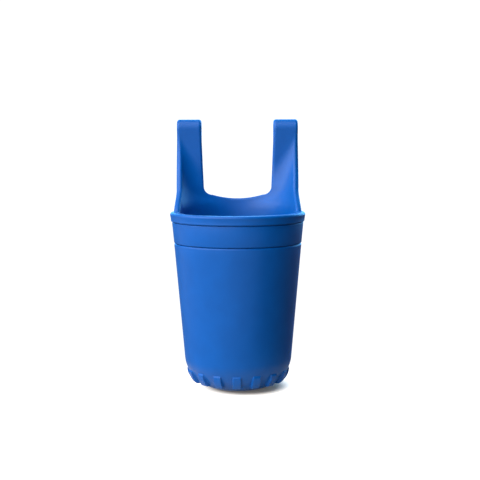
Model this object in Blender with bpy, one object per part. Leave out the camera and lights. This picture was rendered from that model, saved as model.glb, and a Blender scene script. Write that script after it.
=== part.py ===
"""A foam cup that hangs from the wall of a bag.

A tapered cup with a lugged base carries a collar with a raised back, a bead round the rim, and two
arms. Each arm turns over at its crown into a hook, whose rear leg grips the back of the bag's wall.

Metres, +Z up. The cup stands on Z = 0 and its axis is the Z axis. Its front faces -Y, and its arms
and hooks are at +Y.
"""

import math

import bmesh
import bpy
from mathutils import Vector

MM = 0.001

# Cup
CUP_HEIGHT = 132.0 * MM  # floor to the rim at the front
FOOT_RADIUS = 38.1 * MM  # outer wall line at the floor
TOP_RADIUS = 49.6 * MM  # outer wall line at the rim
CUP_WALL = 5.8 * MM
CUP_FLOOR = 6.0 * MM
BASE_CORNER = 25.5 * MM  # outer radius between wall and floor
BAND_HEIGHT = 21.5 * MM  # seam to rim
SEAM_CHAMFER = 0.5 * MM
BAND_STEP = 0.15 * MM  # how far the collar stands out from the cup at the seam

# Lugs round the base
LUG_COUNT = 16
LUG_TURN = math.radians(-1.5)  # the front lug's angle from straight ahead
LUG_TOP = 15.0 * MM
LUG_FOOT = 5.2 * MM
LUG_CORNER = 13.1 * MM
LUG_FACE_WIDTH = 5.4 * MM
LUG_ROOT_WIDTH = 7.4 * MM
LUG_SINK = 1.8 * MM  # how far a lug's root reaches into the wall
LUG_BLEND = 0.15 * MM  # how far a lug's top edge starts inside the wall

# Rim bead
BEAD_PROUD = 0.8 * MM  # how far the bead stands out from the wall line at the rim
BEAD_REBATE = 1.7 * MM  # how far the wall behind the bead is cut back
BEAD_HEIGHT = 6.8 * MM
BEAD_CREST = 2.0 * MM
BEAD_LIP = 1.2 * MM

# Raised back between the arms
STRAP_WALL = 4.8 * MM  # raised back, arms and hooks
NOTCH_RISE = 7.0 * MM  # rim to the lowest point between the arms
NOTCH_DIP_RADIUS = 70.0 * MM
NOTCH_FILLET = 6.5 * MM
FLARE_END = math.radians(90.0)  # where the arms' outer edges meet the rim, from the back
FLARE_POWER = 0.7

# Arms and hooks
ARM_INNER_ANGLE = math.radians(34.6)  # edges of the arm's root, from the back
ARM_OUTER_ANGLE = math.radians(71.5)
ARM_GAP = 56.8 * MM  # clear width between the arms at their tops
ARM_WIDTH = 19.2 * MM
ARM_RISE = 69.5 * MM  # rim to the crowns' tops
ARM_FLAT = 8.0 * MM  # height below the crown's top where the arm has become flat
ARM_LEAN_START = 3.0 * MM  # above the rim, clear of the bead
ARM_CREASE = 12.0 * MM  # softness of the fold between wall and arm
WALL_CREASE = 1.0 * MM  # the same at the rim, where the wall is still round
STRAP_EDGE = 1.8 * MM  # rounding of the strap's edges
HOOK_GAP = 6.0 * MM  # takes the bag's wall
HOOK_DROP = 43.0 * MM  # crown's top to the rear leg's tip

SEAM_GAP = 0.3 * MM  # clearance between neighbouring pieces

# Smoothness
TURN_STEPS = 64
CORNER_STEPS = 6
LUG_STEPS = 4
CREST_STEPS = 3
WALL_ROWS = 4
DIP_STEPS = 4  # half of the edge between the arms
FILLET_STEPS = 5
ROOT_STEPS = 7
FLARE_STEPS = 6
FRONT_STEPS = 14  # half of the rim in front of the arms
STRAP_COLUMNS = 8
EDGE_STEPS = 2
HALF_CROWN_STEPS = 3
ARM_STEPS = 12
WELD = 0.01 * MM  # points closer than this are one
SLOPE_SHARE = 0.001  # steps for measuring which way a surface faces
SLOPE_LENGTH = 0.01 * MM

# Colour of the moulded foam
FOAM_BLUE = (0.0, 0.093, 0.405, 1.0)
FOAM_ROUGHNESS = 0.5

# Places that follow from the sizes
SEAM_Z = CUP_HEIGHT - BAND_HEIGHT
BEAD_BOTTOM = CUP_HEIGHT - BEAD_HEIGHT
BEAD_RADIUS = TOP_RADIUS + BEAD_PROUD
TAPER = (TOP_RADIUS - FOOT_RADIUS) / CUP_HEIGHT
STRAP_Y = BEAD_RADIUS - STRAP_WALL / 2
CROWN_RADIUS = (HOOK_GAP + STRAP_WALL) / 2
CROWN_TOP = CUP_HEIGHT + ARM_RISE
CROWN_Z = CROWN_TOP - STRAP_WALL / 2 - CROWN_RADIUS
CROWN_Y = STRAP_Y + CROWN_RADIUS
CROWN_LENGTH = math.pi * CROWN_RADIUS
REAR_LEG = HOOK_DROP - STRAP_WALL / 2 - CROWN_RADIUS
LEAN_Z = CUP_HEIGHT + ARM_LEAN_START


def clear_scene():
    for thing in list(bpy.data.objects):
        bpy.data.objects.remove(thing, do_unlink=True)


def spread(first, last, steps):
    """Evenly spaced values from first to last, both included."""
    return [first + (last - first) * step / steps for step in range(steps + 1)]


def mix(first, last, share):
    return first + (last - first) * share


def soft_min(first, second, width):
    """The lesser of two values, with a rounded corner where they cross."""
    overlap = max(width - abs(first - second), 0.0)
    return min(first, second) - overlap**2 / (4 * width)


def soft_rise(value, width):
    """Zero below zero and value above it, with a rounded corner."""
    return -soft_min(-value, 0.0, width)


def foam(name):
    material = bpy.data.materials.new(name)
    material.use_nodes = True
    shader = material.node_tree.nodes["Principled BSDF"]
    shader.inputs["Base Color"].default_value = FOAM_BLUE
    shader.inputs["Roughness"].default_value = FOAM_ROUGHNESS
    shader.inputs["Metallic"].default_value = 0.0
    material.diffuse_color = FOAM_BLUE
    return material


def add_object(name, mesh, sharp_degrees=40.0):
    mesh.shade_smooth()
    mesh.set_sharp_from_angle(angle=math.radians(sharp_degrees))
    thing = bpy.data.objects.new(name, mesh)
    thing.data.materials.append(foam(name + "_foam"))
    bpy.context.collection.objects.link(thing)
    return thing


def mesh_from(name, work):
    bmesh.ops.recalc_face_normals(work, faces=work.faces)
    mesh = bpy.data.meshes.new(name)
    work.to_mesh(mesh)
    work.free()
    return mesh


def turned(name, profile, closed):
    """A mesh turned about the Z axis from (radius, height) points. An open profile ends on the axis."""
    work = bmesh.new()
    points = [work.verts.new((radius, 0.0, height)) for radius, height in profile]
    edges = [work.edges.new(pair) for pair in zip(points, points[1:])]
    if closed:
        edges.append(work.edges.new((points[-1], points[0])))
    bmesh.ops.spin(
        work,
        geom=points + edges,
        axis=(0.0, 0.0, 1.0),
        cent=(0.0, 0.0, 0.0),
        steps=TURN_STEPS,
        angle=2 * math.pi,
    )
    bmesh.ops.remove_doubles(work, verts=work.verts, dist=WELD)
    return mesh_from(name, work)


def lofted(name, rings, capped):
    """A mesh over closed rings of equal length. Caps join a ring's first half to its second half."""
    work = bmesh.new()
    loops = [[work.verts.new(point) for point in ring] for ring in rings]
    pairs = list(zip(loops, loops[1:]))
    if not capped:
        pairs.append((loops[-1], loops[0]))
    count = len(loops[0])
    for lower, upper in pairs:
        for this in range(count):
            after = (this + 1) % count
            work.faces.new((lower[this], lower[after], upper[after], upper[this]))
    if capped:
        for loop in (loops[0], loops[-1]):
            for this in range(count // 2 - 1):
                work.faces.new((loop[this], loop[this + 1], loop[-this - 2], loop[-this - 1]))
    return mesh_from(name, work)


def line_radius(height):
    """The radius of the cup's outer wall line."""
    return FOOT_RADIUS + TAPER * height


def corner_centre(radius):
    """(radius, height) of the centre of the arc of this radius that joins the floor to the wall line."""
    return line_radius(radius) - radius * math.hypot(1.0, TAPER), radius


def corner_arc(wall):
    """Arc points from the floor up to the wall, for the face that is wall inside the outer one."""
    side, height = corner_centre(BASE_CORNER)
    radius = BASE_CORNER - wall
    start = -math.pi / 2
    end = -math.atan(TAPER)
    return [
        (side + radius * math.cos(angle), height + radius * math.sin(angle))
        for angle in spread(start, end, CORNER_STEPS)
    ]


def cup_profile():
    outer_top = line_radius(SEAM_Z) - BAND_STEP
    inner_top = line_radius(SEAM_Z) - CUP_WALL
    top = SEAM_Z - SEAM_GAP
    lift = CUP_FLOOR - CUP_WALL
    inside = [(radius, height + lift) for radius, height in corner_arc(CUP_WALL)]
    return [
        (0.0, 0.0),
        *corner_arc(0.0),
        (line_radius(top - SEAM_CHAMFER) - BAND_STEP, top - SEAM_CHAMFER),
        (outer_top - SEAM_CHAMFER, top),
        (inner_top, top),
        *reversed(inside),
        (0.0, CUP_FLOOR),
    ]


def base_surface(height):
    """The radius of the cup's rounded bottom corner at a height."""
    side, middle = corner_centre(BASE_CORNER)
    return side + math.sqrt(BASE_CORNER**2 - (middle - height) ** 2)


def lug_outline():
    """(face, root) pairs of (radius, height) points, from a lug's top down to its foot."""
    centre = base_surface(LUG_TOP) - LUG_CORNER - LUG_BLEND
    lowest = math.asin((LUG_TOP - LUG_FOOT) / LUG_CORNER)
    pairs = []
    for angle in spread(0.0, lowest, LUG_STEPS):
        height = LUG_TOP - LUG_CORNER * math.sin(angle)
        face = (centre + LUG_CORNER * math.cos(angle), height)
        root = (base_surface(height) - LUG_SINK, height)
        pairs.append((face, root))
    return pairs


def lug_section(point, width, turn):
    """The two corners of a lug at one (radius, height) point."""
    radius, height = point
    forward = Vector((math.sin(turn), -math.cos(turn), 0.0))
    across = Vector((math.cos(turn), math.sin(turn), 0.0))
    middle = forward * radius + Vector((0.0, 0.0, height))
    return middle - across * (width / 2), middle + across * (width / 2)


def make_lugs():
    """All the lugs as one helper, which is joined to the cup by a Boolean."""
    work = bmesh.new()
    for number in range(LUG_COUNT):
        turn = LUG_TURN + 2 * math.pi * number / LUG_COUNT
        rings = []
        for face, root in lug_outline():
            face_left, face_right = lug_section(face, LUG_FACE_WIDTH, turn)
            root_left, root_right = lug_section(root, LUG_ROOT_WIDTH, turn)
            ring = (face_left, face_right, root_right, root_left)
            rings.append([work.verts.new(point) for point in ring])
        for upper, lower in zip(rings, rings[1:]):
            for this in range(4):
                after = (this + 1) % 4
                work.faces.new((upper[this], upper[after], lower[after], lower[this]))
        work.faces.new(rings[0])
        work.faces.new(rings[-1])
    helper = bpy.data.objects.new("lug_helper", mesh_from("lug_helper", work))
    helper.hide_render = True
    helper.display_type = "WIRE"
    bpy.context.collection.objects.link(helper)
    return helper


def make_cup():
    cup = add_object("cup_body", turned("cup_body", cup_profile(), closed=False))
    join = cup.modifiers.new("lugs", "BOOLEAN")
    join.operation = "UNION"
    join.solver = "EXACT"
    join.object = make_lugs()


def bead_profile():
    """The bead stands in a rebate round the collar, so its inner face follows the wall's taper."""
    top = CUP_HEIGHT
    inner = line_radius(top) - BEAD_REBATE + SEAM_GAP
    crest = [
        (
            BEAD_RADIUS - BEAD_CREST + BEAD_CREST * math.cos(angle),
            top - BEAD_CREST + BEAD_CREST * math.sin(angle),
        )
        for angle in spread(math.pi / 2, 0.0, CREST_STEPS)
    ]
    bottom_inner = line_radius(BEAD_BOTTOM) - BEAD_REBATE + SEAM_GAP
    return [
        (inner, top),
        *crest,
        (BEAD_RADIUS, BEAD_BOTTOM + BEAD_LIP),
        (BEAD_RADIUS - BEAD_LIP, BEAD_BOTTOM),
        (bottom_inner, BEAD_BOTTOM),
    ]


def make_bead():
    add_object("rim_bead", turned("rim_bead", bead_profile(), closed=True))


def wall_middle(height):
    """The middle radius of the raised wall."""
    return line_radius(height) - BEAD_REBATE - STRAP_WALL / 2


def notch_height(across):
    """The height of the edge between the arms."""
    return CUP_HEIGHT + NOTCH_RISE + across**2 / (2 * NOTCH_DIP_RADIUS)


def root_side(angle):
    """How far to the side the wall is at an angle from the back, just above the rim."""
    return wall_middle(CUP_HEIGHT + NOTCH_RISE + NOTCH_FILLET) * math.sin(angle)


FILLET_SIDE = root_side(ARM_INNER_ANGLE) - NOTCH_FILLET
ROOT_Z = notch_height(FILLET_SIDE) + NOTCH_FILLET
LEAN_NEEDED = STRAP_Y + ARM_CREASE - wall_middle(ROOT_Z) * math.cos(ARM_OUTER_ANGLE)
LEAN_SLOPE = LEAN_NEEDED / (CROWN_TOP - ARM_FLAT - LEAN_Z)


def leaned(depth, height):
    """The depth of a point of the wall, which leans back above the rim until it is flat."""
    lean = LEAN_SLOPE * soft_rise(height - LEAN_Z, ARM_LEAN_START)
    share = min(max((height - CUP_HEIGHT) / (ROOT_Z - CUP_HEIGHT), 0.0), 1.0)
    return soft_min(depth + lean, STRAP_Y, mix(WALL_CREASE, ARM_CREASE, share))


def wall_point(angle, height):
    """A point of the raised wall's middle surface, at an angle from the back."""
    radius = wall_middle(height)
    depth = radius * math.cos(angle)
    if abs(angle) < math.pi / 2:
        depth = leaned(depth, height)
    return Vector((radius * math.sin(angle), depth, height))


def strap_point(across, along):
    """A point of the strap's middle surface.

    across goes from 0 at the inner edge to 1 at the outer edge. along is 0 where the crown starts,
    negative down the arm, and positive over the crown and down the rear leg.
    """
    side = ARM_GAP / 2 + ARM_WIDTH * across
    if along > CROWN_LENGTH:
        return Vector((side, CROWN_Y + CROWN_RADIUS, CROWN_Z - (along - CROWN_LENGTH)))
    if along > 0.0:
        turn = along / CROWN_RADIUS
        depth = CROWN_Y - CROWN_RADIUS * math.cos(turn)
        return Vector((side, depth, CROWN_Z + CROWN_RADIUS * math.sin(turn)))
    height = CROWN_Z + along
    angle = mix(ARM_INNER_ANGLE, ARM_OUTER_ANGLE, across)
    radius = wall_middle(ROOT_Z)
    share = (height - ROOT_Z) / (CROWN_Z - ROOT_Z)
    side = mix(radius * math.sin(angle), side, share)
    return Vector((side, leaned(radius * math.cos(angle), height), height))


def face_normal(surface, share, length):
    """The direction in which the front of a wall or strap faces."""
    sideways = surface(share + SLOPE_SHARE, length) - surface(share - SLOPE_SHARE, length)
    upwards = surface(share, length + SLOPE_LENGTH) - surface(share, length - SLOPE_LENGTH)
    return sideways.cross(upwards).normalized()


def levelled(normal):
    """The level step that goes as far through a sloping wall as a step of one along its normal."""
    flat = Vector((normal.x, normal.y, 0.0))
    return flat / flat.length_squared


def top_edge():
    """(angle, height) of the collar's top edge, from the middle of the back to the front."""
    edge = [(side, notch_height(side)) for side in spread(0.0, FILLET_SIDE, DIP_STEPS)]
    for turn in spread(0.0, math.pi / 2, FILLET_STEPS)[1:]:
        side = FILLET_SIDE + NOTCH_FILLET * math.sin(turn)
        edge.append((side, notch_height(FILLET_SIDE) + NOTCH_FILLET * (1 - math.cos(turn))))
    angles = [(math.asin(side / wall_middle(height)), height) for side, height in edge[:-1]]
    angles += [(angle, ROOT_Z) for angle in spread(ARM_INNER_ANGLE, ARM_OUTER_ANGLE, ROOT_STEPS)]
    for share in spread(0.0, 1.0, FLARE_STEPS)[1:]:
        drop = share**FLARE_POWER * (ROOT_Z - CUP_HEIGHT)
        angles.append((mix(ARM_OUTER_ANGLE, FLARE_END, share), ROOT_Z - drop))
    angles += [(angle, CUP_HEIGHT) for angle in spread(FLARE_END, math.pi, FRONT_STEPS)[1:]]
    return angles


def wall_rows(top):
    """Heights down the wall to the bead's undercut, one of them at the rim where the wall rises above it."""
    foot = BEAD_BOTTOM - SEAM_GAP
    if top > CUP_HEIGHT:
        return spread(top, CUP_HEIGHT, WALL_ROWS - 1) + [foot]
    return spread(top, foot, WALL_ROWS)


def collar_ring(angle, top):
    """One cut through the collar's wall: down its outside, and up its inside."""
    outward = Vector((math.sin(angle), math.cos(angle), 0.0))
    ring = []
    inside = []
    for height in wall_rows(top):
        inward = -outward
        if height > CUP_HEIGHT:
            inward = levelled(face_normal(wall_point, angle, height))
        middle = wall_point(angle, height)
        ring.append(middle - inward * (STRAP_WALL / 2))
        inside.append(middle + inward * (STRAP_WALL / 2))
    for radius, height in (
        (line_radius(BEAD_BOTTOM), BEAD_BOTTOM - SEAM_GAP),
        (line_radius(SEAM_Z + SEAM_CHAMFER), SEAM_Z + SEAM_CHAMFER),
        (line_radius(SEAM_Z) - SEAM_CHAMFER, SEAM_Z),
        (line_radius(SEAM_Z) - CUP_WALL, SEAM_Z),
    ):
        ring.append(outward * radius + Vector((0.0, 0.0, height)))
    return ring + inside[::-1]


def make_collar():
    half = top_edge()
    other_half = [(-angle, height) for angle, height in reversed(half[1:-1])]
    rings = [collar_ring(angle, top) for angle, top in half + other_half]
    add_object("collar", lofted("collar", rings, capped=False))


def strap_section():
    """(across, half thickness) pairs over the strap's width, with rounded edges."""
    edge = []
    for turn in spread(0.0, math.pi / 2, EDGE_STEPS)[:-1]:
        side = STRAP_EDGE * (1 - math.cos(turn))
        edge.append((side, STRAP_WALL / 2 - STRAP_EDGE * (1 - math.sin(turn))))
    flat = spread(STRAP_EDGE, ARM_WIDTH - STRAP_EDGE, STRAP_COLUMNS)
    other_edge = [(ARM_WIDTH - side, half) for side, half in reversed(edge)]
    section = edge + [(side, STRAP_WALL / 2) for side in flat] + other_edge
    return [(side / ARM_WIDTH, half) for side, half in section]


def strap_ring(along, shrink=0.0):
    """One cut across the strap, with every edge moved in by shrink."""
    front = []
    back = []
    for across, half in strap_section():
        narrowed = 0.5 + (across - 0.5) * (1 - 2 * shrink / ARM_WIDTH)
        middle = strap_point(narrowed, along)
        normal = face_normal(strap_point, narrowed, along)
        if along < 0.0:
            normal = levelled(normal)
        depth = half * (1 - 2 * shrink / STRAP_WALL)
        front.append(middle + normal * depth)
        back.append(middle - normal * depth)
    return front + back[::-1]


def mirrored(mesh, name):
    """The same mesh on the other side."""
    copy = mesh.copy()
    copy.name = name
    for vertex in copy.vertices:
        vertex.co.x = -vertex.co.x
    copy.flip_normals()
    return copy


def add_pair(name, rings):
    """The same strap piece on both sides. +X is the object's own left."""
    left = lofted(name + "_left", rings, capped=True)
    right = mirrored(left, name + "_right")
    return add_object(name + "_left", left), add_object(name + "_right", right)


def make_arms():
    """Each arm runs from the collar to the top of its crown."""
    foot = ROOT_Z + SEAM_GAP - CROWN_Z
    top = CROWN_LENGTH / 2 - SEAM_GAP / 2
    stations = spread(foot, 0.0, ARM_STEPS) + spread(0.0, top, HALF_CROWN_STEPS)[1:]
    add_pair("arm", [strap_ring(along) for along in stations])


def make_hooks():
    """Each hook is the rear half of the crown and the rear leg, and turns about the crown's top."""
    start = CROWN_LENGTH / 2 + SEAM_GAP / 2
    tip = CROWN_LENGTH + REAR_LEG
    rings = [strap_ring(along) for along in spread(start, CROWN_LENGTH, HALF_CROWN_STEPS)]
    rings.append(strap_ring(tip - STRAP_EDGE))
    rings.append(strap_ring(tip, shrink=STRAP_EDGE / 2))
    for hook in add_pair("hook", rings):
        pivot = Vector((0.0, CROWN_Y, CROWN_TOP))
        for vertex in hook.data.vertices:
            vertex.co -= pivot
        hook.location = pivot


def main():
    clear_scene()
    make_cup()
    make_collar()
    make_bead()
    make_arms()
    make_hooks()


main()
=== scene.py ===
"""The looks of the hanging foam cup: smooth moulded surfaces, foam skin, studio light and camera."""

import math

import bmesh
import bpy
import numpy as np
from mathutils import Matrix, Vector


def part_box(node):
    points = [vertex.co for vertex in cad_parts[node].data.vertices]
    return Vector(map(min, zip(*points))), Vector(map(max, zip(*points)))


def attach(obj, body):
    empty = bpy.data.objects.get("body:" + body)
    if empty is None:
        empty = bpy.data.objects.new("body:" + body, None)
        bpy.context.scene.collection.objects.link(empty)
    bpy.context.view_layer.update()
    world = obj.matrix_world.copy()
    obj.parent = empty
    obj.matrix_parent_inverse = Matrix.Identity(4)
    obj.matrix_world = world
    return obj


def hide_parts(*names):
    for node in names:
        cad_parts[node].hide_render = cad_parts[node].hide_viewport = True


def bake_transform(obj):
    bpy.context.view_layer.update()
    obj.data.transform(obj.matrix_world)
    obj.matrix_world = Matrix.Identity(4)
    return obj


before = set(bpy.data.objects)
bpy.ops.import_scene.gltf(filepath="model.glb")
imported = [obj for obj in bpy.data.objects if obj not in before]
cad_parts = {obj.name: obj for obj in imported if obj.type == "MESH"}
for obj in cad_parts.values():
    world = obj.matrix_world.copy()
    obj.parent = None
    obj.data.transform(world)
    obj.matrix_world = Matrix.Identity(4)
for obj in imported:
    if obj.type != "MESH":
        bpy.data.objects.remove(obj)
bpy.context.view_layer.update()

MM = 0.001
SEAM_DROP = 0.9 * MM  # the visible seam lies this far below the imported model's

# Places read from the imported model
CUP_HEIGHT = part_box("rim_bead")[1].z
BEAD_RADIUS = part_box("rim_bead")[1].x
BEAD_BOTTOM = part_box("rim_bead")[0].z
SEAM_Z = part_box("collar")[0].z - SEAM_DROP
CROWN_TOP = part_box("arm_left")[1].z
HOOK_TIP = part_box("hook_left")[0].z
ARM_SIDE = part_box("hook_left")[0].x
ARM_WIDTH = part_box("hook_left")[1].x - ARM_SIDE

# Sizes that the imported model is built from
FOOT_RADIUS = 38.1 * MM
TOP_RADIUS = 49.6 * MM
CUP_WALL = 5.8 * MM
CUP_FLOOR = 6.0 * MM
BASE_CORNER = 25.5 * MM
BAND_STEP = 0.15 * MM
SEAM_GAP = 0.3 * MM
BEAD_REBATE = 1.7 * MM
STRAP_WALL = 4.8 * MM
HALF = STRAP_WALL / 2
HOOK_GAP = 6.0 * MM
NOTCH_RISE = 7.0 * MM
NOTCH_DIP_RADIUS = 70.0 * MM
NOTCH_FILLET = 6.5 * MM
FLARE_END = math.radians(90.0)
FLARE_POWER = 0.7
ARM_INNER_ANGLE = math.radians(34.6)
ARM_OUTER_ANGLE = math.radians(71.5)
ARM_FLAT = 8.0 * MM
ARM_LEAN_START = 3.0 * MM
WALL_CREASE = 1.0 * MM

# Lugs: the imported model's, but for the last four
LUG_COUNT = 16
LUG_TURN = math.radians(-1.5)
LUG_TOP = 15.0 * MM
LUG_FOOT = 5.2 * MM
LUG_CORNER = 13.1 * MM
LUG_FACE_WIDTH = 5.4 * MM
LUG_ROOT_WIDTH = 7.4 * MM
LUG_SINK = 1.8 * MM
LUG_PROUD = 0.6 * MM  # how far the shoulder stands out at a lug's top
LUG_SHOULDER = 1.6  # slope of the shoulder above a lug
LUG_ROUND = 0.5 * MM  # rounding of a lug's edges
LUG_ROOT_ROUND = 0.5 * MM  # rounding where a lug meets the skin

# Edges and details of the moulded skin
STRAP_EDGE = 2.0 * MM  # rounding of the strap's and wall's edges
FLARE_OUT = math.radians(3.5)  # the outline goes this far out, to make up for the rounding
NOTCH_LIFT = 0.5 * MM  # the notch's outline goes this far up, for the same reason
ARM_CREASE = 18.0 * MM  # softness of the fold between wall and arm, 12 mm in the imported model
FLARE_EASE = 1.4  # how slowly the outer outline leaves the arm
BEAD_ROUND = 1.7 * MM  # rounding of the bead's upper edge
BEAD_LIP = 1.0 * MM  # rounding of the bead's lower edge
BEAD_LIP_BACK = 0.55 * MM  # how far the lower edge stands back from the crest
BEAD_LIFT = 0.05 * MM  # how far the bead's top stands over the wall's
BEAD_ROUND_END = -15.0  # degrees, where the upper edge's arc runs out
BEAD_LIP_START = 20.0  # degrees, where the lower edge's arc begins
CUP_EDGE = 1.4 * MM  # rounding of the cup's top edge, under the band
BAND_EDGE = 0.5 * MM
SLEEVE = 1.0 * MM  # how far the band's ring reaches into the wall behind it
TIP_CORNER = 6.0 * MM  # plan radius of the rear leg's corners

# Studio
FLOOR_REACH = 6.0
FLOOR_ROUGHNESS = 0.9
FLOOR_ASIDE = 6.0 * MM  # the painted shadow round the cup, and the floor's other fades, lie a little to the right
FLOOR_DROP = 0.1 * MM
FLOOR_LIT_SIDE = (-0.7, -0.7, 0.0)  # the floor glows more towards this side, a painted bounce light
# Fades over the floor, each painted light or shade: start and end of the fade, and the value at each
# Painted shade: the paper's colour darkens away from the cup, so the far floor throws back little light
FLOOR_PAINTED_SHADE = (45.0 * MM, 100.0 * MM, 0.80, 0.08)
FLOOR_TINT = (1.0, 0.79, 0.58)  # warm, to make up for the cool backdrop in the shadow
# Painted bounce light: the floor glows for all but camera rays, more towards the front left
FLOOR_PAINTED_BOUNCE_GLOW = (-20.0 * MM, 180.0 * MM, 0.0, 0.6)
# Painted shadow: the glow that the camera sees is painted dimmer round the cup, so the floor looks
# shaded there; the lights' real shadow falls there too
FLOOR_GLOW_PAINTED_SHADOW = (22.0 * MM, 37.0 * MM, 0.08, 1.0)
# Directions of the lights in the room, cosines at the glow's edge and core, strength, colour
WINDOW_GLOW = ((-0.84, -0.54, 0.10), 0.15, 0.92, 1.8, (1.0, 1.0, 1.0))
BACKDROP_GLOW = ((0.22, 0.97, 0.12), 0.60, 0.98, 5.5, (0.14, 0.50, 1.0))
BACKDROP_SEEN = 1.1  # what the camera itself sees of the room
KEY_POWER = 3.5
KEY_SPREAD = math.radians(85.0)
KEY_HEADING = (0.52, 0.30, -0.78)

# Camera
CAMERA_PLACE = (0.0, -0.7875, 0.1869)
CAMERA_ANGLE = math.radians(25.5776)
CAMERA_SHIFT = 0.0046
CAMERA_TILT = math.radians(90.0 - 5.515)
CAMERA_ROLL = math.radians(-0.2)

# Foam skin
FOAM_DARK = (0.0, 0.088, 0.385, 1.0)
FOAM_LIGHT = (0.0, 0.098, 0.425, 1.0)
MOTTLE = (70.0, 4.0)  # a noise's scale and detail
MOTTLE_RANGE = (0.3, 0.7)
GLOSS = (900.0, 2.0)
ROUGHNESS_RANGE = (0.32, 0.40)
UNEVEN = (45.0, 1.0)
UNEVEN_BUMP = (0.3, 0.3 * MM)  # a bump's strength and distance
GRAIN = (1600.0, 3.0)
GRAIN_BUMP = (0.35, 0.05 * MM)
SPECULAR_LEVEL = 0.3
FOAM_IOR = 1.45
SHEEN_WEIGHT = 0.25
SHEEN_ROUGHNESS = 0.25
SHEEN_TINT = (0.25, 0.55, 1.0, 1.0)

# Places that follow
TAPER = (TOP_RADIUS - FOOT_RADIUS) / CUP_HEIGHT
STRAP_Y = BEAD_RADIUS - HALF
CROWN_RADIUS = (HOOK_GAP + STRAP_WALL) / 2
CROWN_Z = CROWN_TOP - HALF - CROWN_RADIUS
CROWN_Y = STRAP_Y + CROWN_RADIUS
CROWN_LENGTH = math.pi * CROWN_RADIUS
STRAP_END = CROWN_LENGTH + CROWN_Z - HOOK_TIP
LEAN_Z = CUP_HEIGHT + ARM_LEAN_START

# Mesh steps
EDGE_STEPS = 8
ACROSS_STEPS = 44
ARM_ROWS = 40
FILLET_ROWS = 16
DIP_ROWS = 12
WALL_ROWS = 10
FRONT_STEPS = 60
TURN_STEPS = 256
CROWN_ROWS = 28
LEG_ROWS = 8
TIP_ROWS = 10
BEAD_ROUND_STEPS = 14
BEAD_LIP_STEPS = 9
CUP_EDGE_STEPS = 6
CUP_WALL_STEPS = 12
BAND_EDGE_STEPS = 4
INSIDE_STEPS = 16
# Lug columns: plain steps on and between the lugs, close ones over the flanks
FLANK_START = math.radians(3.2)
FLANK_END = math.radians(7.4)
PLAIN_COLUMNS = 5
FLANK_COLUMNS = 15
# Rows down the rounded corner: close ones over the lugs
LUG_FALL_START = math.radians(19.0)
LUG_FALL_END = math.radians(60.0)
PLAIN_ROWS = 8
LUG_ROWS = 70
SHARP_ANGLE = math.radians(50.0)
WELD = 0.004 * MM
NUDGE = 0.02 * MM  # step for measuring a surface's slope


def mix(first, last, share):
    return first + (last - first) * share


def soft_min(first, second, width):
    """The lesser of two values, with a rounded corner where they cross."""
    overlap = np.maximum(width - np.abs(first - second), 0.0)
    return np.minimum(first, second) - overlap**2 / (4 * width)


def soft_max(first, second, width):
    return -soft_min(-first, -second, width)


def line_radius(height):
    return FOOT_RADIUS + TAPER * height


def wall_middle(height):
    return line_radius(height) - BEAD_REBATE - HALF


# ---------------------------------------------------------------- the wall and strap's middle surface

NOTCH_LOW = CUP_HEIGHT + NOTCH_RISE
FILLET_RADIUS_AT = wall_middle(NOTCH_LOW + NOTCH_FILLET)
FILLET_SIDE = FILLET_RADIUS_AT * math.sin(ARM_INNER_ANGLE) - NOTCH_FILLET


def notch_height(side):
    return NOTCH_LOW + side**2 / (2 * NOTCH_DIP_RADIUS)


ROOT_Z = notch_height(FILLET_SIDE) + NOTCH_FILLET
LEAN_NEEDED = STRAP_Y + ARM_CREASE - wall_middle(ROOT_Z) * math.cos(ARM_OUTER_ANGLE)
LEAN_SLOPE = LEAN_NEEDED / (CROWN_TOP - ARM_FLAT - LEAN_Z)


def leaned(depth, height):
    """The wall leans back above the rim until it is flat."""
    lean = LEAN_SLOPE * soft_max(height - LEAN_Z, 0.0, ARM_LEAN_START)
    share = np.clip((height - CUP_HEIGHT) / (ROOT_Z - CUP_HEIGHT), 0.0, 1.0)
    return soft_min(depth + lean, STRAP_Y, mix(WALL_CREASE, ARM_CREASE, share))


def back_surface(places):
    """Points of the wall and arms for (angle from the back, height)."""
    angle, height = places[..., 0], places[..., 1]
    radius = wall_middle(np.minimum(height, ROOT_Z))
    rise = np.clip((height - ROOT_Z) / (CROWN_Z - ROOT_Z), 0.0, 1.0)
    across = (angle - ARM_INNER_ANGLE) / (ARM_OUTER_ANGLE - ARM_INNER_ANGLE)
    side = mix(radius * np.sin(angle), ARM_SIDE + ARM_WIDTH * across, rise)
    depth = radius * np.cos(angle)
    depth = np.where(np.abs(angle) < math.pi / 2, leaned(depth, height), depth)
    return np.stack([side, depth, height], axis=-1)


def hook_surface(places):
    """Points of the strap for (angle as at the arm's top, length past the crown's start)."""
    angle, along = places[..., 0], places[..., 1]
    across = (angle - ARM_INNER_ANGLE) / (ARM_OUTER_ANGLE - ARM_INNER_ANGLE)
    turn = np.clip(along, 0.0, CROWN_LENGTH) / CROWN_RADIUS
    straight = np.minimum(along, 0.0) - np.maximum(along - CROWN_LENGTH, 0.0)
    depth = CROWN_Y - CROWN_RADIUS * np.cos(turn)
    height = CROWN_Z + CROWN_RADIUS * np.sin(turn) + straight
    return np.stack([ARM_SIDE + ARM_WIDTH * across, depth, height], axis=-1)


def slopes(surface, places):
    """The surface's two unit-parameter slopes and its normal, towards the cup's inside."""
    angle_step = np.array([NUDGE / FILLET_RADIUS_AT, 0.0])
    height_step = np.array([0.0, NUDGE])
    sideways = (surface(places + angle_step) - surface(places - angle_step)) / (2 * angle_step[0])
    upwards = (surface(places + height_step) - surface(places - height_step)) / (2 * NUDGE)
    normal = np.cross(sideways, upwards)
    normal /= np.linalg.norm(normal, axis=-1, keepdims=True)
    return sideways, upwards, normal


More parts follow.
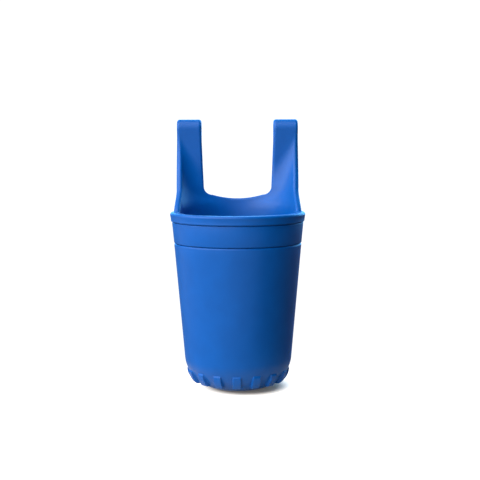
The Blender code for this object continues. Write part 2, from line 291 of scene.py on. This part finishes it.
EDGE_TURNS = np.linspace(0.0, math.pi / 2, EDGE_STEPS)
EDGE_DEPTHS = np.append(0.0, STRAP_EDGE * (1 - np.cos(EDGE_TURNS)))
EDGE_HALVES = np.append(0.0, HALF - STRAP_EDGE * (1 - np.sin(EDGE_TURNS)))


def inset(surface, outline, turn, side, level_ends):
    """Rows of places that run from each outline place straight into the surface, EDGE_STEPS deep.

    turn is +1 or -1, the side of the outline that the surface lies on. level_ends says for the
    first and last row whether it runs level, and None leaves it square to the outline.
    """
    sideways, upwards, normal = slopes(surface, outline)
    points = surface(outline)
    along = np.gradient(points, axis=0)
    inward = turn * np.cross(normal, along)
    inward /= np.linalg.norm(inward, axis=-1, keepdims=True)
    aa = (sideways * sideways).sum(-1)
    ab = (sideways * upwards).sum(-1)
    bb = (upwards * upwards).sum(-1)
    ra = (sideways * inward).sum(-1)
    rb = (upwards * inward).sum(-1)
    spread = aa * bb - ab * ab
    step = np.stack([(bb * ra - ab * rb) / spread, (aa * rb - ab * ra) / spread], axis=-1)
    for row, level in zip((0, -1), level_ends):
        if level is True:
            step[row] = (side / math.sqrt(aa[row]), 0.0)
        if level is False:
            step[row] = (0.0, -1.0 / math.sqrt(bb[row]))
    return outline[:, None, :] + step[:, None, :] * EDGE_DEPTHS[None, :, None]


def bridged(surface, inner, outer, turn, level_ends):
    """A grid of places from an inner outline to an outer one, and the half thickness at each."""
    first = inset(surface, inner, turn, 1.0, level_ends)
    last = inset(surface, outer, -turn, -1.0, level_ends)
    share = np.linspace(0.0, 1.0, ACROSS_STEPS + 1)[1:-1][None, :, None]
    middle = mix(first[:, -1:, :], last[:, -1:, :], share)
    grid = np.concatenate([first, middle, last[:, ::-1, :]], axis=1)
    half = np.concatenate([EDGE_HALVES, np.full(middle.shape[1], HALF), EDGE_HALVES[::-1]])
    return grid, np.broadcast_to(half, grid.shape[:2])


def both_faces(surface, grid, front_half, back_half):
    """The front and back points that lie on either side of the middle surface."""
    normal = slopes(surface, grid)[2]
    middle = surface(grid)
    return middle + normal * front_half[..., None], middle - normal * back_half[..., None]


# ---------------------------------------------------------------- mesh helpers


def add_grid(work, points):
    """Quads over a grid of points."""
    rows, columns = points.shape[:2]
    verts = [[work.verts.new(point) for point in row] for row in points.tolist()]
    for row in range(rows - 1):
        for column in range(columns - 1):
            corners = [
                verts[row][column],
                verts[row][column + 1],
                verts[row + 1][column + 1],
                verts[row + 1][column],
            ]
            work.faces.new(corners)


def finished(name, work):
    """An object from a closed mesh, with its seams welded and its soft edges smoothed."""
    bmesh.ops.remove_doubles(work, verts=work.verts, dist=WELD)
    bmesh.ops.dissolve_degenerate(work, edges=work.edges, dist=WELD / 4)
    loose = [vert for vert in work.verts if not vert.link_faces]
    bmesh.ops.delete(work, geom=loose, context="VERTS")
    bmesh.ops.recalc_face_normals(work, faces=work.faces)
    mesh = bpy.data.meshes.new(name)
    work.to_mesh(mesh)
    work.free()
    mesh.shade_smooth()
    mesh.set_sharp_from_angle(angle=SHARP_ANGLE)
    thing = bpy.data.objects.new(name, mesh)
    bpy.context.collection.objects.link(thing)
    return thing


def turned(name, profile):
    """A closed ring turned about the cup's axis from (radius, height) points."""
    work = bmesh.new()
    profile = np.array(profile + profile[:1])
    angles = np.linspace(0.0, 2 * math.pi, TURN_STEPS + 1)
    grid = np.stack(
        [
            np.outer(np.sin(angles), profile[:, 0]),
            np.outer(np.cos(angles), profile[:, 0]),
            np.outer(np.ones_like(angles), profile[:, 1]),
        ],
        axis=-1,
    )
    add_grid(work, grid)
    return finished(name, work)


def arc(centre, radius, start, end, steps):
    """(radius, height) points of an arc. Angles are in degrees, 0 outwards and 90 up."""
    return [
        (centre[0] + radius * math.cos(math.radians(a)), centre[1] + radius * math.sin(math.radians(a)))
        for a in np.linspace(start, end, steps + 1)
    ]


# ---------------------------------------------------------------- cup with lugs

CORNER_SIDE = line_radius(BASE_CORNER) - BASE_CORNER * math.hypot(1.0, TAPER)
WALL_TILT = math.atan(TAPER)


def corner_point(reach, fall):
    """(radius, height) at a reach from the corner's centre, fall below the level."""
    return CORNER_SIDE + reach * np.cos(fall), BASE_CORNER - reach * np.sin(fall)


def lug_height(fall, turn):
    """How far the skin stands out over the rounded corner, at a fall and an angle round the axis."""
    body_top = CORNER_SIDE + math.sqrt(BASE_CORNER**2 - (BASE_CORNER - LUG_TOP) ** 2)
    centre = np.array([body_top + LUG_PROUD - LUG_CORNER, LUG_TOP])
    offset = centre - np.array([CORNER_SIDE, BASE_CORNER])
    toward = np.cos(fall) * offset[0] - np.sin(fall) * offset[1]
    face = toward + np.sqrt(toward**2 - offset @ offset + LUG_CORNER**2) - BASE_CORNER
    foot = (BASE_CORNER - LUG_FOOT) / np.sin(fall) - BASE_CORNER
    top_fall = math.asin((BASE_CORNER - LUG_TOP) / BASE_CORNER)
    shoulder = (fall - top_fall) * BASE_CORNER * LUG_SHOULDER
    crown = soft_min(soft_min(face, foot, LUG_ROUND), shoulder, LUG_ROUND)
    radius = corner_point(BASE_CORNER, fall)[0]
    pitch = 2 * math.pi / LUG_COUNT
    nearest = turn - LUG_TURN
    nearest = nearest - np.round(nearest / pitch) * pitch
    aside = np.abs(radius * np.sin(nearest))
    run = (LUG_ROOT_WIDTH - LUG_FACE_WIDTH) / 2
    flank = (LUG_ROOT_WIDTH / 2 - aside) * (crown + LUG_SINK) / run - LUG_SINK
    return soft_max(soft_min(crown, flank, LUG_ROUND), 0.0, LUG_ROOT_ROUND)


def lug_columns():
    """Angles round the cup, closest together at the lugs' flanks."""
    pitch = 2 * math.pi / LUG_COUNT
    half = np.concatenate(
        [
            np.linspace(0.0, FLANK_START, PLAIN_COLUMNS)[:-1],
            np.linspace(FLANK_START, FLANK_END, FLANK_COLUMNS)[:-1],
            np.linspace(FLANK_END, pitch / 2, PLAIN_COLUMNS),
        ]
    )
    one = np.concatenate([-half[:0:-1], half[:-1]])
    turns = np.concatenate([one + LUG_TURN + pitch * number for number in range(LUG_COUNT)])
    return np.append(turns, turns[0] + 2 * math.pi)


def corner_falls():
    """Falls down the rounded corner, closest together over the lugs."""
    return np.concatenate(
        [
            np.linspace(WALL_TILT, LUG_FALL_START, PLAIN_ROWS)[:-1],
            np.linspace(LUG_FALL_START, LUG_FALL_END, LUG_ROWS)[:-1],
            np.linspace(LUG_FALL_END, math.pi / 2, PLAIN_ROWS),
        ]
    )


def cup_inside():
    """The cup's inner face, from its top edge down to the middle of the floor."""
    inner_top = line_radius(SEAM_Z) - CUP_WALL
    radius = BASE_CORNER - CUP_WALL
    lift = CUP_FLOOR - CUP_WALL
    inside = [(inner_top, SEAM_Z - SEAM_GAP)]
    for fall in np.linspace(WALL_TILT, math.pi / 2, INSIDE_STEPS):
        side, height = corner_point(radius, fall)
        inside.append((float(side), float(height + lift)))
    return inside + [(0.0, CUP_FLOOR)]


def make_cup():
    columns = lug_columns()
    top = SEAM_Z - SEAM_GAP
    centre = (line_radius(top) - BAND_STEP - CUP_EDGE, top - CUP_EDGE)
    edge = arc(centre, CUP_EDGE, 90.0, math.degrees(-WALL_TILT), CUP_EDGE_STEPS)
    wall_low = corner_point(BASE_CORNER, WALL_TILT)
    wall = [
        (mix(edge[-1][0], wall_low[0], share), mix(edge[-1][1], wall_low[1], share))
        for share in np.linspace(0.0, 1.0, CUP_WALL_STEPS)[1:-1]
    ]
    rows = []
    ones = np.ones_like(columns)
    for radius, height in [cup_inside()[0]] + edge + wall:
        rows.append((radius * ones, height * ones))
    for fall in corner_falls():
        radius, height = corner_point(BASE_CORNER + lug_height(fall, columns), fall)
        rows.append((radius * ones, height * ones))
    rows.append((0.0 * ones, 0.0 * ones))
    inner = [(radius * ones, height * ones) for radius, height in cup_inside()]
    work = bmesh.new()
    for block in (rows, inner):
        grid = np.array(
            [np.stack([r * np.sin(columns), -r * np.cos(columns), z], axis=-1) for r, z in block]
        )
        add_grid(work, grid)
    cup = finished("foam_cup", work)
    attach(cup, "cup")
    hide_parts("cup_body")
    return cup


# ---------------------------------------------------------------- collar band and bead


def make_band():
    """The sleeve round the wall between the seam and the bead."""
    low, high = SEAM_Z, BEAD_BOTTOM - SEAM_GAP
    depth = BEAD_REBATE + SLEEVE
    profile = [
        (line_radius(high) - depth, high),
        *arc((line_radius(high) - BAND_EDGE, high - BAND_EDGE), BAND_EDGE, 90.0, 0.0, BAND_EDGE_STEPS),
        *arc((line_radius(low) - BAND_EDGE, low + BAND_EDGE), BAND_EDGE, 0.0, -90.0, BAND_EDGE_STEPS),
        (line_radius(low) - depth, low),
    ]
    band = turned("collar_band", profile)
    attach(band, "cup")
    return band


def make_bead():
    """A rounded ring whose top runs inwards to the middle of the wall's round top edge."""
    top = CUP_HEIGHT + BEAD_LIFT
    middle = wall_middle(CUP_HEIGHT)
    under = line_radius(BEAD_BOTTOM) - BEAD_REBATE - HALF / 2
    crest = (BEAD_RADIUS - BEAD_ROUND, top - BEAD_ROUND)
    lip = (BEAD_RADIUS - BEAD_LIP_BACK - BEAD_LIP, BEAD_BOTTOM + BEAD_LIP)
    profile = [
        (middle - HALF / 3, top - HALF / 4),
        (middle, top),
        *arc(crest, BEAD_ROUND, 90.0, BEAD_ROUND_END, BEAD_ROUND_STEPS),
        *arc(lip, BEAD_LIP, BEAD_LIP_START, -90.0, BEAD_LIP_STEPS),
        (under, BEAD_BOTTOM),
    ]
    bead = turned("rim_bead_ring", profile)
    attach(bead, "cup")
    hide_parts("rim_bead")
    return bead


# ---------------------------------------------------------------- raised back with arms


def inner_outline():
    """The edge from the crown's start down the arm's inner side to the notch's lowest point."""
    arm = [(ARM_INNER_ANGLE, z) for z in arm_heights()]
    edge = []
    for turn in np.linspace(math.pi / 2, 0.0, FILLET_ROWS + 1)[1:]:
        side = FILLET_SIDE + NOTCH_FILLET * math.sin(turn)
        lift = NOTCH_FILLET * (1 - math.cos(turn)) + NOTCH_LIFT * math.cos(turn)
        edge.append((side, notch_height(FILLET_SIDE) + lift))
    for side in np.linspace(FILLET_SIDE, 0.0, DIP_ROWS + 1)[1:]:
        edge.append((side, notch_height(side) + NOTCH_LIFT))
    return np.array(arm + [(math.asin(side / FILLET_RADIUS_AT), z) for side, z in edge])


def outer_outline():
    """The edge from the crown's start down the arm's outer side to the rim."""
    arm = [
        (ARM_OUTER_ANGLE + FLARE_OUT * (CROWN_Z - z) / (CROWN_Z - ROOT_Z), z) for z in arm_heights()
    ]
    flare = []
    for share in np.linspace(0.0, 1.0, FILLET_ROWS + DIP_ROWS + 1)[1:]:
        eased = share**FLARE_EASE
        drop = eased**FLARE_POWER * (ROOT_Z - CUP_HEIGHT)
        flare.append((mix(ARM_OUTER_ANGLE + FLARE_OUT, FLARE_END, eased), ROOT_Z - drop))
    return np.array(arm + flare)


def arm_heights():
    flat = CROWN_TOP - ARM_FLAT
    return [CROWN_Z] + list(np.linspace(flat, ROOT_Z, ARM_ROWS + 1))


def inner_half_thickness(height, half):
    """The wall's inner face comes in flush with the cup's below the bead."""
    share = np.clip((BEAD_BOTTOM - height) / (BEAD_BOTTOM - SEAM_Z), 0.0, 1.0)
    return half - share * (BEAD_REBATE + STRAP_WALL - CUP_WALL)


def back_half():
    """Grids of places and half thicknesses over the right-hand half of the wall."""
    arms, arm_half = bridged(back_surface, inner_outline(), outer_outline(), 1.0, (True, False))
    last = arms[-1, EDGE_STEPS : arms.shape[1] - EDGE_STEPS]
    drop = np.linspace(0.0, 1.0, WALL_ROWS + 1)[:, None]
    below = np.stack(
        [np.broadcast_to(last[:, 0], (WALL_ROWS + 1, len(last))), mix(last[:, 1], SEAM_Z, drop)],
        axis=-1,
    )
    turns = np.linspace(FLARE_END, math.pi, FRONT_STEPS + 1)
    step = arms[-1, -EDGE_STEPS - 1, 1] - CUP_HEIGHT
    edge_z = CUP_HEIGHT + EDGE_DEPTHS / EDGE_DEPTHS[-1] * step
    heights = np.concatenate([edge_z, mix(edge_z[-1], SEAM_Z, drop[1:, 0])])
    front = np.stack(np.meshgrid(turns, heights), axis=-1)
    front_half = np.full(front.shape[:2], HALF)
    front_half[: EDGE_STEPS + 1] = EDGE_HALVES[:, None]
    return [
        (arms, arm_half),
        (below, np.full(below.shape[:2], HALF)),
        (front, front_half),
    ]


def add_end(work, faces, row):
    """Closes the gap between two faces along their first row (0) or their last (-1)."""
    add_grid(work, np.stack([face[row] for face in faces], axis=0))


def make_back():
    work = bmesh.new()
    for number, (grid, half) in enumerate(back_half()):  # the arms come first
        faces = both_faces(back_surface, grid, inner_half_thickness(grid[..., 1], half), half)
        for sign in (1.0, -1.0):
            mirrored = [face * np.array([sign, 1.0, 1.0]) for face in faces]
            for face in mirrored:
                add_grid(work, face)
            add_end(work, mirrored, 0 if number == 0 else -1)
    back = finished("raised_back", work)
    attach(back, "cup")
    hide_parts("collar", "arm_left", "arm_right")
    return back


# ---------------------------------------------------------------- hooks


def hook_outline(side):
    """The strap's edge from the crown's start to the middle of the tip.

    side is 0 for the inner edge and 1 for the outer one.
    """
    start = [0.0, NUDGE]
    crown = list(np.linspace(0.0, CROWN_LENGTH, CROWN_ROWS + 1)[1:])
    leg = list(np.linspace(CROWN_LENGTH, STRAP_END - TIP_CORNER, LEG_ROWS + 1)[1:])
    edge = [(0.0, along) for along in start + crown + leg]
    for turn in np.linspace(0.0, math.pi / 2, TIP_ROWS + 1)[1:]:
        edge.append((TIP_CORNER * (1 - math.cos(turn)), STRAP_END - TIP_CORNER * (1 - math.sin(turn))))
    for place in np.linspace(TIP_CORNER, ARM_WIDTH / 2, TIP_ROWS + 1)[1:]:
        edge.append((place, STRAP_END))
    across = np.array([place for place, along in edge]) / ARM_WIDTH
    if side == 1:
        across = 1.0 - across
    along = np.array([along for place, along in edge])
    return np.stack([mix(ARM_INNER_ANGLE, ARM_OUTER_ANGLE, across), along], axis=-1)


def make_hook(name, sign):
    grid, half = bridged(hook_surface, hook_outline(0), hook_outline(1), -1.0, (True, None))
    work = bmesh.new()
    faces = both_faces(hook_surface, grid, half, half)
    mirrored = [face * np.array([sign, 1.0, 1.0]) for face in faces]
    for face in mirrored:
        add_grid(work, face)
    add_end(work, mirrored, 0)
    hook = finished(name + "_strap", work)
    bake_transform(hook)
    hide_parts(name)
    return hook


# ---------------------------------------------------------------- foam skin


def foam_skin():
    """Satin skin of moulded closed-cell foam: faint mottling, fine grain and shallow unevenness."""
    material = bpy.data.materials.new("foam_skin")
    material.use_nodes = True
    nodes = material.node_tree.nodes
    links = material.node_tree.links
    shader = nodes["Principled BSDF"]
    shader.inputs["Specular IOR Level"].default_value = SPECULAR_LEVEL
    shader.inputs["IOR"].default_value = FOAM_IOR
    shader.inputs["Sheen Weight"].default_value = SHEEN_WEIGHT
    shader.inputs["Sheen Roughness"].default_value = SHEEN_ROUGHNESS
    shader.inputs["Sheen Tint"].default_value = SHEEN_TINT
    where = nodes.new("ShaderNodeTexCoord")

    def noise(scale, detail):
        node = nodes.new("ShaderNodeTexNoise")
        node.inputs["Scale"].default_value = scale
        node.inputs["Detail"].default_value = detail
        links.new(where.outputs["Object"], node.inputs["Vector"])
        return node.outputs["Fac"]

    def bump(height, strength, distance, before=None):
        node = nodes.new("ShaderNodeBump")
        node.inputs["Strength"].default_value = strength
        node.inputs["Distance"].default_value = distance
        links.new(height, node.inputs["Height"])
        if before:
            links.new(before, node.inputs["Normal"])
        return node.outputs["Normal"]

    tint = nodes.new("ShaderNodeValToRGB")
    tint.color_ramp.elements[0].position = MOTTLE_RANGE[0]
    tint.color_ramp.elements[0].color = FOAM_DARK
    tint.color_ramp.elements[1].position = MOTTLE_RANGE[1]
    tint.color_ramp.elements[1].color = FOAM_LIGHT
    links.new(noise(*MOTTLE), tint.inputs["Fac"])
    links.new(tint.outputs["Color"], shader.inputs["Base Color"])

    gloss = nodes.new("ShaderNodeMapRange")
    gloss.inputs["To Min"].default_value = ROUGHNESS_RANGE[0]
    gloss.inputs["To Max"].default_value = ROUGHNESS_RANGE[1]
    links.new(noise(*GLOSS), gloss.inputs["Value"])
    links.new(gloss.outputs["Result"], shader.inputs["Roughness"])

    uneven = bump(noise(*UNEVEN), *UNEVEN_BUMP)
    grain = bump(noise(*GRAIN), *GRAIN_BUMP, uneven)
    links.new(grain, shader.inputs["Normal"])
    return material


# ---------------------------------------------------------------- studio


def floor_paper():
    """Pale paper with painted light. The camera sees it glowing white, with the glow painted dimmer
    round the cup, a painted shadow over the real one; the paper darkens away from the cup as painted
    shade, and for other rays it glows towards the front left as painted bounce light.
    """
    material = bpy.data.materials.new("floor_paper")
    material.use_nodes = True
    nodes = material.node_tree.nodes
    links = material.node_tree.links
    shader = nodes["Principled BSDF"]
    shader.inputs["Roughness"].default_value = FLOOR_ROUGHNESS
    shader.inputs["Specular IOR Level"].default_value = 0.0
    path = nodes.new("ShaderNodeLightPath")
    where = nodes.new("ShaderNodeTexCoord")
    distance = nodes.new("ShaderNodeVectorMath")
    distance.operation = "LENGTH"
    links.new(where.outputs["Object"], distance.inputs[0])

    frontward = nodes.new("ShaderNodeVectorMath")
    frontward.operation = "DOT_PRODUCT"
    frontward.inputs[1].default_value = Vector(FLOOR_LIT_SIDE).normalized()
    links.new(where.outputs["Object"], frontward.inputs[0])

    def faded(place, start, end, near, far):
        node = nodes.new("ShaderNodeMapRange")
        node.interpolation_type = "SMOOTHSTEP"
        node.inputs["From Min"].default_value = start
        node.inputs["From Max"].default_value = end
        node.inputs["To Min"].default_value = near
        node.inputs["To Max"].default_value = far
        links.new(place.outputs["Value"], node.inputs["Value"])
        return node.outputs["Result"]

    # The floor's glow: painted shadow round the cup for the camera, painted bounce light for other rays
    glow = nodes.new("ShaderNodeMix")
    glow.data_type = "FLOAT"
    links.new(path.outputs["Is Camera Ray"], glow.inputs["Factor"])
    links.new(faded(frontward, *FLOOR_PAINTED_BOUNCE_GLOW), glow.inputs["A"])
    links.new(faded(distance, *FLOOR_GLOW_PAINTED_SHADOW), glow.inputs["B"])
    # The paper's colour, darkened away from the cup as painted shade
    paper = nodes.new("ShaderNodeVectorMath")
    paper.operation = "MULTIPLY"
    paper.inputs[1].default_value = FLOOR_TINT
    links.new(faded(distance, *FLOOR_PAINTED_SHADE), paper.inputs[0])
    links.new(paper.outputs["Vector"], shader.inputs["Base Color"])
    shader.inputs["Emission Color"].default_value = (1.0, 1.0, 1.0, 1.0)
    links.new(glow.outputs["Result"], shader.inputs["Emission Strength"])
    return material


def make_floor():
    """A pale sweep with its paper."""
    work = bmesh.new()
    corners = [(-1, -1), (1, -1), (1, 1), (-1, 1)]
    work.faces.new([work.verts.new((x * FLOOR_REACH, y * FLOOR_REACH, 0.0)) for x, y in corners])
    mesh = bpy.data.meshes.new("floor")
    work.to_mesh(mesh)
    work.free()
    floor = bpy.data.objects.new("floor", mesh)
    bpy.context.collection.objects.link(floor)
    floor.location = (FLOOR_ASIDE, 0.0, -FLOOR_DROP)
    mesh.materials.append(floor_paper())


def make_world():
    """A dark room with a soft window on the left and a cool backdrop, seen as plain white."""
    world = bpy.data.worlds.new("room")
    bpy.context.scene.world = world
    world.use_nodes = True
    nodes = world.node_tree.nodes
    links = world.node_tree.links
    where = nodes.new("ShaderNodeTexCoord")

    def glow(direction, edge, core, strength, colour):
        facing = nodes.new("ShaderNodeVectorMath")
        facing.operation = "DOT_PRODUCT"
        facing.inputs[1].default_value = Vector(direction).normalized()
        links.new(where.outputs["Generated"], facing.inputs[0])
        level = nodes.new("ShaderNodeMapRange")
        level.interpolation_type = "SMOOTHSTEP"
        level.inputs["From Min"].default_value = edge
        level.inputs["From Max"].default_value = core
        level.inputs["To Max"].default_value = strength
        links.new(facing.outputs["Value"], level.inputs["Value"])
        background = nodes.new("ShaderNodeBackground")
        background.inputs["Color"].default_value = (*colour, 1.0)
        links.new(level.outputs["Result"], background.inputs["Strength"])
        return background.outputs["Background"]

    both = nodes.new("ShaderNodeAddShader")
    links.new(glow(*WINDOW_GLOW), both.inputs[0])
    links.new(glow(*BACKDROP_GLOW), both.inputs[1])
    plain = nodes["Background"]
    plain.inputs["Color"].default_value = (1.0, 1.0, 1.0, 1.0)
    plain.inputs["Strength"].default_value = BACKDROP_SEEN
    path = nodes.new("ShaderNodeLightPath")
    seen = nodes.new("ShaderNodeMixShader")
    links.new(path.outputs["Is Camera Ray"], seen.inputs["Fac"])
    links.new(both.outputs["Shader"], seen.inputs[1])
    links.new(plain.outputs["Background"], seen.inputs[2])
    links.new(seen.outputs["Shader"], nodes["World Output"].inputs["Surface"])


def make_key():
    """One soft key light from the upper left in front."""
    light = bpy.data.lights.new("key", "SUN")
    light.energy = KEY_POWER
    light.angle = KEY_SPREAD
    key = bpy.data.objects.new("key", light)
    bpy.context.collection.objects.link(key)
    key.rotation_euler = Vector(KEY_HEADING).to_track_quat("-Z", "Y").to_euler()


def make_camera():
    data = bpy.data.cameras.new("camera")
    data.angle = CAMERA_ANGLE
    data.shift_x = CAMERA_SHIFT
    camera = bpy.data.objects.new("camera", data)
    bpy.context.collection.objects.link(camera)
    camera.location = CAMERA_PLACE
    down = Matrix.Rotation(CAMERA_TILT, 3, "X")
    roll = Matrix.Rotation(CAMERA_ROLL, 3, "Z")
    camera.rotation_euler = (down @ roll).to_euler()
    bpy.context.scene.camera = camera


def main():
    skin = foam_skin()
    pieces = [make_cup(), make_band(), make_bead(), make_back()]
    pieces += [make_hook("hook_left", 1.0), make_hook("hook_right", -1.0)]
    for piece in pieces:
        piece.data.materials.append(skin)
    make_floor()
    make_world()
    make_key()
    make_camera()
    bpy.context.scene.view_settings.view_transform = "Standard"


main()
